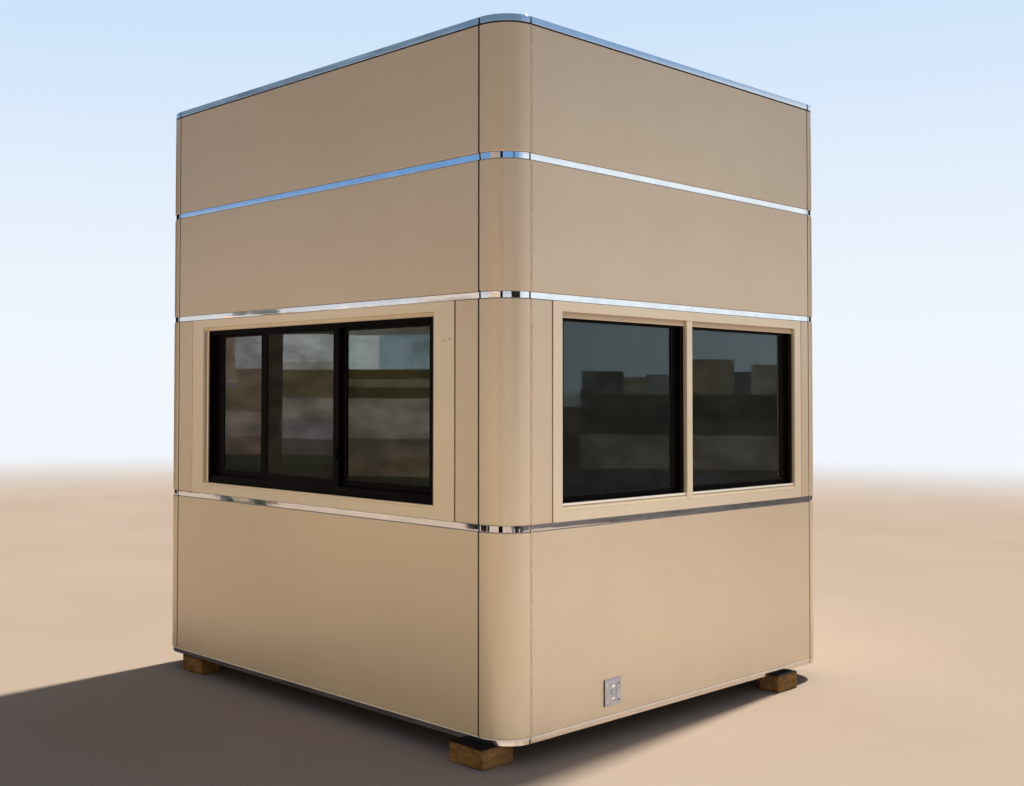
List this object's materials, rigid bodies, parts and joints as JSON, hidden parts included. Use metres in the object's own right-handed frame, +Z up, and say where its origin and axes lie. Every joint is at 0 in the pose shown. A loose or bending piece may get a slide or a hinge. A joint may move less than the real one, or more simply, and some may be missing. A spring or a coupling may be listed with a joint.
{
  "type": "security guard booth",
  "caption": "Square guard booth with rounded corners, metal tray cladding between polished strips, sliding windows, a door and foot blocks.",
  "frame": {"origin": "ground level under the middle of the booth's plan", "axes": "+Z up, -Y the front with the wide sliding window, +X the right side with the two-pane window"},
  "size_m": [2.776, 2.83, 3.24],
  "materials": {
    "cladding": "satin metallic beige coated aluminium tray",
    "window_trim": "satin cream-beige coated aluminium section",
    "polished_steel": "mirror polished stainless strip",
    "black_frame": "black powder coated aluminium section",
    "tinted_glass": "dark tinted glass",
    "wall_board": "dark grey-brown lining on an insulated wall panel",
    "frame_steel": "dark grey primed steel section",
    "floor_board": "sealed plywood deck",
    "roof_sheet": "pale coated roof sheet",
    "door_paint": "satin beige coated door leaf",
    "handle_steel": "brushed stainless lever set",
    "plate_metal": "grey brushed metal outlet plate",
    "block": "rough weathered timber block"
  },
  "bodies": {
    "root": {"back_cladding": "cladding", "back_left_corner_panels": "cladding", "back_right_corner_panels": "cladding", "back_wall_piers": "wall_board", "back_wall_upper": "wall_board", "base_joists": "frame_steel", "base_rails": "frame_steel", "base_trim": "polished_steel", "ceiling": "wall_board", "coping": "polished_steel", "corner_posts": "frame_steel", "door_frame": "window_trim", "door_handle": "handle_steel", "door_leaf": "door_paint", "floor_deck": "floor_board", "foot_blocks": "block", "front_cladding": "cladding", "front_left_corner_panels": "cladding", "front_right_corner_panels": "cladding", "front_wall_lower": "wall_board", "front_wall_piers": "wall_board", "front_wall_upper": "wall_board", "front_window_frame": "black_frame", "front_window_glass": "tinted_glass", "front_window_sashes": "black_frame", "front_window_surround": "window_trim", "head_strip": "polished_steel", "left_cladding": "cladding", "left_wall_lower": "wall_board", "left_wall_piers": "wall_board", "left_wall_upper": "wall_board", "left_window_glass": "tinted_glass", "left_window_sashes": "black_frame", "left_window_surround": "window_trim", "outlet_plate": "plate_metal", "right_cladding": "cladding", "right_wall_lower": "wall_board", "right_wall_piers": "wall_board", "right_wall_upper": "wall_board", "right_window_glass": "tinted_glass", "right_window_sashes": "black_frame", "right_window_surround": "window_trim", "roof_deck": "roof_sheet", "sill_strip": "polished_steel", "upper_strip": "polished_steel"}
  },
  "joints": []
}
